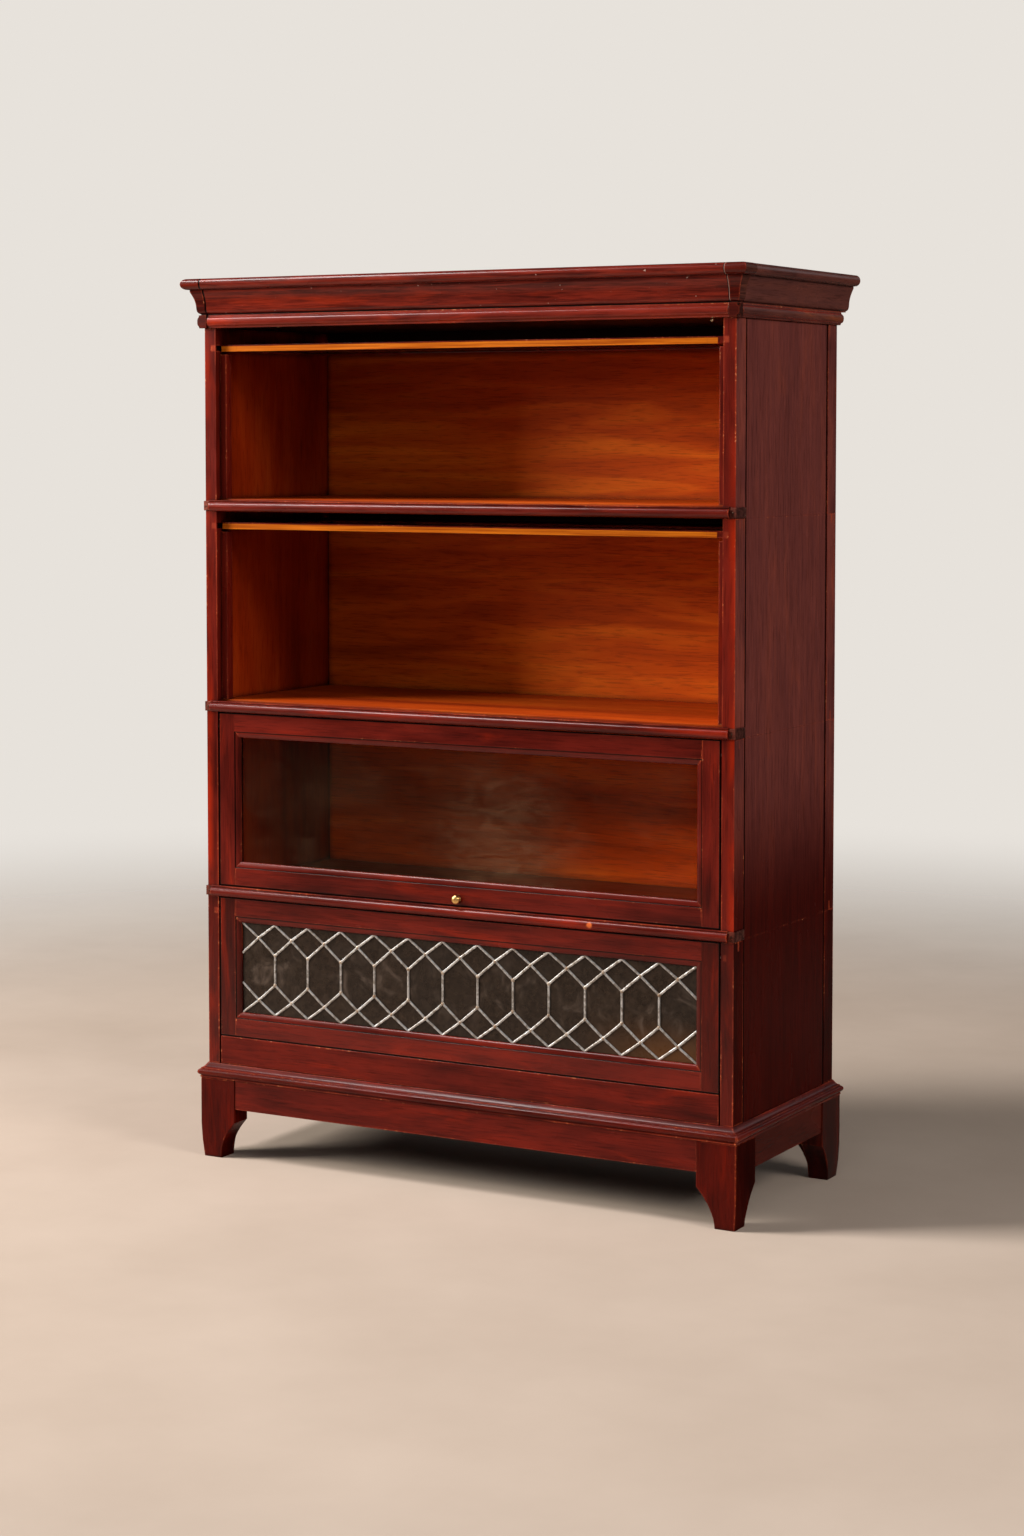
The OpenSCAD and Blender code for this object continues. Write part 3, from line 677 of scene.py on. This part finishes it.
def dress_units():
    for n in UNITS:
        dress_sides(n)
        dress_back_and_shelf(n)
    for n in UNITS[:3]:
        dress_mahogany(f"unit_{n}_nosing", "x", 50 + n, width=0.6 * MM, wear=1.0, streaks=0.5, glow=0.55,
                       masks=(rubbed_through,) if n == 3 else ())
    dress_mahogany("unit_4_toe_rail", "x", 55, gloss=0.6)
    strap = metal("strap_metal", (0.20, 0.050, 0.034), (0.070, 0.018, 0.012), 0.40, 0.9)
    dress("corner_straps", strap, 0.5 * MM)
    dress("stacking_dowels", plain_wood("beech", (0.55, 0.36, 0.19)), 0.5 * MM)


def dress_doors():
    steel = metal("slide_steel", (0.42, 0.40, 0.38), (0.16, 0.13, 0.11), 0.3)
    for n in UNITS:
        upright = "y" if n in STOWED else "z"
        masks = (frame_lines(n), raw_edge(n))
        # Painted shade: door 4's stiles are darker.
        stile_shade = (0.52, 0.46, 0.38) if n == 4 else (1, 1, 1)
        dress_mahogany(f"door_{n}_stiles", upright, 60 + n, glow=0.8, wear=0.7, tint=stile_shade, masks=masks)
        dress_mahogany(f"door_{n}_rails", "x", 70 + n, streaks=0.35, wear=0.7, masks=masks)
        dress(f"door_{n}_slides", steel, 0.4 * MM)
    for n in UNITS[:3]:
        dress(f"door_{n}_glass", dusty_glass(n), 0.3 * MM)


def pale_joint(tree):
    """A mask for the pale filler in the crown's joint at the right-hand corner block."""
    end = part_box("crown_front")[1].x
    return (0.30, 0.19, 0.16), tree.math("GREATER_THAN", tree.xyz[0], end - 1.3 * MM)


def crown_foot(tree):
    """A mask for a painted shadow line where the crown's front stands on its bead."""
    return GRIME_AND_SHADE, tree.math("LESS_THAN", tree.xyz[2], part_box("crown_front")[0].z + 2.3 * MM)


def flecks(tree):
    """A mask for sparse pale flecks where the crown's finish is lost."""
    return (0.50, 0.33, 0.27), tree.spread(tree.noise(tree.place, 190, 2, 0.5), 0.745, 0.765)


def bead_caps(tree):
    """A mask for the darker caps round the bead's front corners."""
    end = tree.math("GREATER_THAN", tree.math("ABSOLUTE", tree.xyz[0]), CASE_X - 9.6 * MM)
    front = tree.math("LESS_THAN", tree.xyz[1], 5 * MM - CASE_Y)
    return GRIME_AND_SHADE, tree.math("MULTIPLY", tree.math("MULTIPLY", end, front), 0.7)


def dress_crown():
    # Painted sheen on the right-hand side: the side faces of the crown and its corner blocks are paler, and
    # the bead's are darker red with a pale sheen.
    crown_side, bead_side = level_fade((1.1, 4.4, 6.3)), level_fade((0.6, 2.0, 3.0))
    joints = dark_ends(0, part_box("crown_front")[1].x, 2.4 * MM)
    # Painted highlight: the crown's front is tinted brighter and paler.
    dress_mahogany("crown_front", "x", 81, width=0.5 * MM, streaks=0.85, fine_figure=2.2, wear=0.8,
                   tint=(1.3, 1.7, 1.7), masks=(joints, pale_joint, crown_foot, flecks))
    dress_mahogany("crown_sides", "y", 82, width=0.5 * MM, contrast=0.6, glow=0.05, gloss=0.4,
                   fade=crown_side)
    dress_mahogany("crown_corner_blocks", "ring", 83, width=0.7 * MM, streaks=0.7, fine_figure=2.2,
                   tint=(0.7, 0.75, 0.7), side=crown_side)
    dress_mahogany("crown_back", "x", 84, glow=0.05)
    dress_mahogany("crown_top", "x", 85, glow=0.1)
    # Painted highlight: the bead is tinted brighter and paler.
    dress_mahogany("crown_bead", "ring", 86, width=0.4 * MM, streaks=0.6, glow=0.6, wear=0.9,
                   tint=(1.6, 2.0, 2.0), side=bead_side, masks=(bead_caps,))
    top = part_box("crown_ceiling")[1].z
    # Painted shade: the ceiling is near-black below its top face.
    ceiling = interior_wood("crown_ceiling", "x", 87, red=0.9, under_z=top - 3 * MM)
    dress("crown_ceiling", ceiling, 0.3 * MM)


# ---- Mesh helpers for the added pieces ----

def finished(name, bm, material, body, smooth=False, bevel=0.0):
    """The bmesh as a named piece that rides on a body."""
    bmesh.ops.recalc_face_normals(bm, faces=bm.faces)
    mesh = bpy.data.meshes.new(name)
    bm.to_mesh(mesh)
    bm.free()
    for face in mesh.polygons:
        face.use_smooth = smooth
    mesh.materials.append(material)
    piece = bpy.data.objects.new(name, mesh)
    bpy.context.scene.collection.objects.link(piece)
    if bevel:
        edges = piece.modifiers.new("edges", "BEVEL")
        edges.width = bevel
        edges.segments = 2
        edges.limit_method = "ANGLE"
        piece.modifiers.new("normals", "WEIGHTED_NORMAL")
    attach(piece, body)
    return piece


def add_loft(bm, rings):
    """A closed solid through rings of the same number of points, with a cap on each end."""
    rows = [[bm.verts.new(point) for point in ring] for ring in rings]
    count = len(rows[0])
    for one, two in zip(rows, rows[1:]):
        for i in range(count):
            j = (i + 1) % count
            bm.faces.new((one[i], one[j], two[j], two[i]))
    bm.faces.new(rows[0][::-1])
    bm.faces.new(rows[-1])


def add_box(bm, low, high):
    (x0, y0, z0), (x1, y1, z1) = low, high
    ring = [(x0, y0), (x1, y0), (x1, y1), (x0, y1)]
    add_loft(bm, [[(x, y, z) for x, y in ring] for z in (z0, z1)])


def add_dome(bm, centre, normal, radius, height):
    """A low dome, such as a pin's head or a drop of solder, standing on its flat side."""
    rings, sides = 4, 14
    turn = Vector(normal).to_track_quat("Z", "Y").to_matrix()
    rows = []
    for k in range(rings + 1):
        angle = math.pi / 2 * k / (rings + 0.4)
        r, z = radius * math.cos(angle), height * math.sin(angle)
        rows.append([
            Vector(centre) + turn @ Vector((r * math.cos(a), r * math.sin(a), z))
            for a in (math.tau * i / sides for i in range(sides))
        ])
    add_loft(bm, rows)


# ---- Pieces on the case ----

def door_stops():
    """Full-height cleats that stand for the short CAD stops. They end under a door put away."""
    wood = mahogany("door_stops", "z", 90, glow=0.25, wear=1.0)
    low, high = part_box("door_stops")
    width, depth = high.x - INNER_X + 11 * MM, 14 * MM
    under_door = 9 * MM
    bm = bmesh.new()
    for n in UNITS:
        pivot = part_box(f"door_{n}_slides")
        top = (pivot[0].z + pivot[1].z) / 2 - under_door
        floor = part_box(f"unit_{n}_shelf")[1].z
        for side in SIDES:
            x0, x1 = sorted((side * (INNER_X - width), side * INNER_X))
            add_box(bm, (x0, low.y, floor), (x1, low.y + depth, top))
    piece = finished("door_stop_cleats", bm, wood, "case", bevel=0.8 * MM)
    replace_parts(piece, "door_stops")


def strap_pins():
    """Two small pins near the rear end of each strap, and one on its front."""
    dark = metal("pin_metal", (0.16, 0.10, 0.07), (0.03, 0.02, 0.016), 0.35)
    low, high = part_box("corner_straps")
    from_edge, from_rear, from_corner = 3.6 * MM, 4 * MM, 3 * MM
    radius, height = 1.1 * MM, 0.6 * MM
    bm = bmesh.new()
    for n in UNITS[:3]:
        z0, z1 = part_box(f"unit_{n}_nosing")[0].z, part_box(f"unit_{n}_nosing")[1].z
        for side in SIDES:
            for z in (z0 + from_edge, z1 - from_edge):
                add_dome(bm, (side * high.x, high.y - from_rear, z), (side, 0, 0), radius, height)
            middle = (side * (CASE_X - from_corner), low.y, (z0 + z1) / 2)
            add_dome(bm, middle, (0, -1, 0), radius, height)
    finished("strap_pins", bm, dark, "case", smooth=True)


def add_wire(bm, points, radius):
    """A round wire through points, bent where they turn."""
    sides = 10
    rings = []
    for i, point in enumerate(points):
        before = points[max(i - 1, 0)]
        after = points[min(i + 1, len(points) - 1)]
        turn = (Vector(after) - Vector(before)).to_track_quat("Z", "X").to_matrix()
        rings.append([
            Vector(point) + turn @ Vector((radius * math.cos(a), radius * math.sin(a), 0))
            for a in (math.tau * k / sides for k in range(sides))
        ])
    add_loft(bm, rings)


def crown_hook():
    """A small cup hook under the crown's bead at the right, and a pin's head towards the left."""
    brass = metal("hook_metal", (0.55, 0.42, 0.24), (0.20, 0.13, 0.07), 0.35)
    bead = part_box("crown_bead")[0]
    y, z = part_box("unit_1_posts")[0].y - 1.6 * MM, bead.z
    wire_r, bend_r, drop, head_r = 0.8 * MM, 2.4 * MM, 3.5 * MM, 1.4 * MM
    x, pin_x = INNER_X - 15 * MM, -0.30
    bend = [
        (x, y - bend_r * (1 - math.cos(a)), z - drop - bend_r * math.sin(a))
        for a in (math.pi * k / 8 for k in range(9))
    ]
    bm = bmesh.new()
    add_dome(bm, (x, y, z), (0, 0, -1), head_r, 1.0 * MM)
    add_wire(bm, [(x, y, z + 1 * MM)] + bend, wire_r)
    add_dome(bm, (pin_x, y, z), (0, 0, -1), head_r, 1.2 * MM)
    finished("crown_hook", bm, brass, "case", smooth=True, bevel=0.2 * MM)


def back_screws():
    """Round heads along the edges of the back panels, seen from behind."""
    steel = metal("screw_steel", (0.36, 0.33, 0.30), (0.12, 0.08, 0.06), 0.4)
    bm = bmesh.new()
    per_side, per_edge, inset = 3, 6, 9 * MM
    radius, height = 3.2 * MM, 1.5 * MM
    for n in UNITS:
        low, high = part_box(f"unit_{n}_back")
        rise = high.z - low.z - 2 * inset
        spots = [(side * (high.x - inset), low.z + inset + rise * k / (per_side - 1))
                 for side in SIDES for k in range(per_side)]
        spots += [((2 * k / (per_edge - 1) - 1) * (high.x - 8 * inset), z)
                  for k in range(per_edge) for z in (low.z + inset, high.z - inset)]
        for x, z in spots:
            add_dome(bm, (x, high.y, z), (0, 1, 0), radius, height)
    finished("back_screws", bm, steel, "case", smooth=True)


def glue_blocks():
    """Triangular blocks in the corner between the deck and the aprons."""
    # Painted shade: the blocks are darkened, standing in the shade under the case.
    pine = interior_wood("glue_blocks", "x", 95, red=0.2, shade=0.4)
    leg, half, apart = 20 * MM, 30 * MM, 0.22
    apron_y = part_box("base_rear_apron")[0].y
    deck_low, deck_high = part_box("base_deck")
    under = deck_low.z
    bm = bmesh.new()
    for side in SIDES:
        wall = side * min(apron_y, deck_high.y)
        corner = [(wall, under), (wall - side * leg, under), (wall, under - leg)]
        for x in (-apart, 0.0, apart):
            add_loft(bm, [[(x + end, y, z) for y, z in corner] for end in (-half, half)])
    finished("glue_blocks", bm, pine, "case", bevel=0.5 * MM)


# ---- Pieces on the doors ----

def door_point(door, x, back, up):
    """A point of a door at rest, from its middle, its front face and its lower edge."""
    boxes = [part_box(f"door_{door}_{part}") for part in ("rails", "stiles")]
    y0 = min(low.y for low, high in boxes)
    z0 = min(low.z for low, high in boxes)
    z1 = max(high.z for low, high in boxes)
    if door in STOWED:
        return Vector((x, y0 + up, z1 - back))
    return Vector((x, y0 + back, z0 + up))


def turned_knob():
    """The brass knob, turned finer than its CAD node. Its profile is a foot, a neck and a round
    head, as shares of its radius and of how far it stands out."""
    low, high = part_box("door_3_knob")
    radius, depth = (high.x - low.x) / 2, high.y - low.y
    x, z = (low.x + high.x) / 2, (low.z + high.z) / 2
    sides, head_half = 36, 0.41
    profile = [(0.69, 0), (0.69, 0.06), (0.65, 0.09), (0.48, 0.12), (0.40, 0.16), (0.40, 0.20)]
    profile += [
        (math.cos(a), 1 - head_half + head_half * math.sin(a))
        for a in (math.radians(10 * k) for k in range(-6, 9))
    ]
    profile.append((0.04, 1.0))
    bm = bmesh.new()
    add_loft(bm, [
        [(x + radius * r * math.cos(a), high.y - depth * out, z + radius * r * math.sin(a))
         for a in (math.tau * i / sides for i in range(sides))]
        for r, out in profile
    ])
    brass = metal("knob_brass", (0.84, 0.54, 0.20), (0.58, 0.33, 0.10), 0.20, grime=1.0)
    knob = finished("door_3_turned_knob", bm, brass, "door_3", smooth=True)
    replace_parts(knob, "door_3_knob")


def door_height(door):
    """A door's height, measured along it as it stands or lies."""
    low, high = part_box(f"door_{door}_stiles")
    return high.y - low.y if door in STOWED else high.z - low.z


# A door's thickness, the depth of its glass's rear face, and the width of its frame.
DOOR_T = 10 * MM
GLASS_BACK = 9 * MM
SIGHT = 36 * MM


def glazing_beads(door):
    """Mitred quarter-round beads that hold the glass from behind."""
    wide, proud = 6 * MM, 1.5 * MM
    wood = mahogany(f"door_{door}_beads", "x", 100 + door, glow=0.2)
    section = [(0, GLASS_BACK), (wide, GLASS_BACK)]
    section += [
        (wide * math.cos(a), GLASS_BACK + (DOOR_T + proud - GLASS_BACK) * math.sin(a))
        for a in (math.radians(18 * k) for k in range(1, 6))
    ]
    half_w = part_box(f"door_{door}_stiles")[1].x - SIGHT + wide
    low, high = SIGHT - wide, door_height(door) - SIGHT + wide
    corners = [(-half_w, low, 1, 1), (half_w, low, -1, 1), (half_w, high, -1, -1), (-half_w, high, 1, -1)]
    bm = bmesh.new()
    for one, two in zip(corners, corners[1:] + corners[:1]):
        add_loft(bm, [
            [door_point(door, x + dx * d, back, up + du * d) for d, back in section]
            for x, up, dx, du in (one, two)
        ])
    finished(f"door_{door}_glazing_beads", bm, wood, f"door_{door}")


# The leaded light has half a hexagon in each cell. Its bars cross and fork at these shares of
# its height from either edge.
CAME_CELLS = 26
CROSS = 0.155
FORK = 0.335
CAME_W = 3.8 * MM


class Leads:
    """The bars, joints and panes of the leaded light, as (x, z) points."""

    def __init__(self):
        low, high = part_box("door_4_cames")
        self.front, self.glass = low.y, high.y
        self.low = Vector((low.x, low.z))
        self.cell = (high.x - low.x) / CAME_CELLS
        self.height = high.z - low.z

    def at(self, i, share, top=False):
        """The point i cells from the left, at a share of the height from the lower or top edge."""
        z = (1 - share if top else share) * self.height
        return Vector((self.low.x + i * self.cell, self.low.y + z))

    def bars(self):
        found = []
        for i in range(CAME_CELLS):
            near, far = ((CROSS, 0), (CROSS, FORK)) if i % 2 else ((0, CROSS), (FORK, CROSS))
            for top in (False, True):
                found.append((self.at(i, near[0], top), self.at(i + 1, near[1], top)))
                found.append((self.at(i, far[0], top), self.at(i + 1, far[1], top)))
            if i % 2 == 0 and i > 0:
                found.append((self.at(i, FORK), self.at(i, FORK, True)))
        return found

    def joints(self):
        found = []
        for i in range(1, CAME_CELLS):
            share = CROSS if i % 2 else FORK
            found += [self.at(i, share), self.at(i, share, True)]
        return found

    def panes(self):
        found = []
        for i in range(1, CAME_CELLS, 2):
            found.append([self.at(i, CROSS), self.at(i + 1, FORK), self.at(i + 1, FORK, True),
                          self.at(i, CROSS, True), self.at(i - 1, FORK, True), self.at(i - 1, FORK)])
            for top in (False, True):
                found.append([self.at(i - 1, 0, top), self.at(i + 1, 0, top), self.at(i, CROSS, top)])
        for i in range(0, CAME_CELLS + 1, 2):
            for top in (False, True):
                ring = [self.at(i, 0, top), self.at(i, FORK, top)]
                if i < CAME_CELLS:
                    ring.insert(1, self.at(i + 1, CROSS, top))
                if i > 0:
                    ring.append(self.at(i - 1, CROSS, top))
                found.append(ring)
        return found


def half_round(centre, across, lift, wide, deep):
    """One ring of a bar's half-round section."""
    steps = 6
    return [
        centre + across * (wide / 2 * math.cos(a)) + lift * (deep * math.sin(a))
        for a in (math.pi * k / steps for k in range(steps + 1))
    ]


def leaded_bars(leads, name, plane, out, deep):
    """The lattice of half-round cames on one face of the panes; out is -1 for the front."""
    bm = bmesh.new()
    lift = Vector((0, out, 0))
    for a, b in leads.bars():
        run = (b - a).normalized()
        across = Vector((-run.y, 0, run.x))
        add_loft(bm, [
            half_round(Vector((p.x, plane, p.y)), across, lift, CAME_W, deep) for p in (a, b)
        ])
    lead = metal("came_lead", (0.66, 0.67, 0.68), (0.27, 0.24, 0.21), 0.28, 0.9, grime=0.6)
    return finished(name, bm, lead, "door_4")


def solder_joints(leads, draw):
    """A flat drop of solder where cames meet."""
    usual_radius, height = 2.9 * MM, 1.75 * MM
    bm = bmesh.new()
    for joint in leads.joints():
        radius = usual_radius * draw.uniform(0.9, 1.12)
        add_dome(bm, (joint.x, leads.glass, joint.y), (0, -1, 0), radius, height)
    solder = metal("solder", (0.50, 0.44, 0.37), (0.26, 0.17, 0.11), 0.4, 0.85, grime=0.8)
    finished("door_4_solder", bm, solder, "door_4", smooth=True)


def leaded_panes(leads, draw):
    """Separate panes, each with its own tone and slight tilt in the cames."""
    thick, tuck, tilt = 2.2 * MM, 0.5 * MM, 0.7
    middle = leads.glass + 1.5 * MM
    bm = bmesh.new()
    tones = []
    for ring in leads.panes():
        centre = sum(ring, Vector((0, 0))) / len(ring)
        turn = Matrix.Rotation(math.radians(draw.uniform(-tilt, tilt)), 3, "X")
        turn = turn @ Matrix.Rotation(math.radians(draw.uniform(-tilt, tilt)), 3, "Z")
        small = [centre + (p - centre) * (1 - tuck / (p - centre).length) for p in ring]
        add_loft(bm, [
            [Vector((centre.x, middle, centre.y)) + turn @ Vector((p.x - centre.x, y, p.y - centre.y))
             for p in small]
            for y in (-thick / 2, thick / 2)
        ])
        faces = len(ring) + 2
        tones += [draw.random()] * faces
    piece = finished("door_4_panes", bm, smoky_pane(), "door_4", bevel=0.25 * MM)
    tone = piece.data.attributes.new("tone", "FLOAT", "FACE")
    tone.data.foreach_set("value", tones)
    return piece


def leaded_light():
    """Door 4's panes, with cames on both of their faces and solder on the front."""
    draw = random.Random(8)
    leads = Leads()
    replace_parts(leaded_panes(leads, draw), "door_4_glass")
    front_depth, rear_depth, glass_thickness = leads.glass - leads.front, 0.9 * MM, 3 * MM
    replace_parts(leaded_bars(leads, "door_4_came_lattice", leads.glass, -1, front_depth), "door_4_cames")
    leaded_bars(leads, "door_4_back_cames", leads.glass + glass_thickness, 1, rear_depth)
    solder_joints(leads, draw)


# ---- The scene ----

make_camera()
make_lights()
make_floor()
dress_base()
dress_units()
dress_doors()
dress_crown()
door_stops()
strap_pins()
crown_hook()
back_screws()
glue_blocks()
for door in UNITS:
    glazing_beads(door)
leaded_light()
turned_knob()
